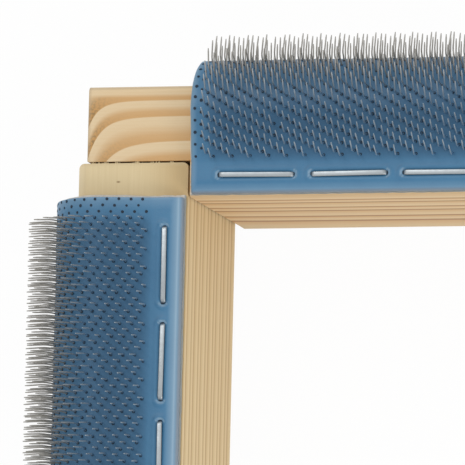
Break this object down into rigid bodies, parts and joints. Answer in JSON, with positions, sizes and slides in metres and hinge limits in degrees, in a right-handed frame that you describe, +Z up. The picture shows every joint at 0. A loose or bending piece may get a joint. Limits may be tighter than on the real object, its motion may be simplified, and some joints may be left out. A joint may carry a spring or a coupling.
{
  "type": "punch needle frame",
  "caption": "Rectangular wooden hand frame whose bars carry stapled gripper strips of bent wire pins that hold cloth taut over an open work window.",
  "frame": {"origin": "under the middle of the frame, on the surface that its two long bars stand on", "axes": "+X along the long bars, to the right; +Y along the side bars, to the rear; +Z up, out of the pin side"},
  "size_m": [0.4186, 0.3184, 0.0463],
  "materials": {
    "pine": "bare planed pine, matt, with eased edges",
    "backing_cloth": "pale layered cotton cloth",
    "blue_rubber": "smooth satin blue rubber full of wire pins",
    "staple_wire": "bright galvanised flat wire",
    "zinc_steel": "zinc plated"
  },
  "bodies": {
    "root": {"rear_bar": "pine", "front_bar": "pine", "left_bar": "pine", "right_bar": "pine", "rear_strip_backing": "backing_cloth", "front_strip_backing": "backing_cloth", "left_strip_backing": "backing_cloth", "right_strip_backing": "backing_cloth", "rear_pin_face": "blue_rubber", "front_pin_face": "blue_rubber", "left_pin_face": "blue_rubber", "right_pin_face": "blue_rubber", "rear_window_staples": "staple_wire", "rear_hem_staples": "staple_wire", "front_window_staples": "staple_wire", "front_hem_staples": "staple_wire", "left_window_staples": "staple_wire", "left_hem_staples": "staple_wire", "right_window_staples": "staple_wire", "right_hem_staples": "staple_wire", "rear_left_upper_screw": "zinc_steel", "rear_left_lower_screw": "zinc_steel", "rear_right_upper_screw": "zinc_steel", "rear_right_lower_screw": "zinc_steel", "front_left_upper_screw": "zinc_steel", "front_left_lower_screw": "zinc_steel", "front_right_upper_screw": "zinc_steel", "front_right_lower_screw": "zinc_steel"}
  },
  "joints": []
}
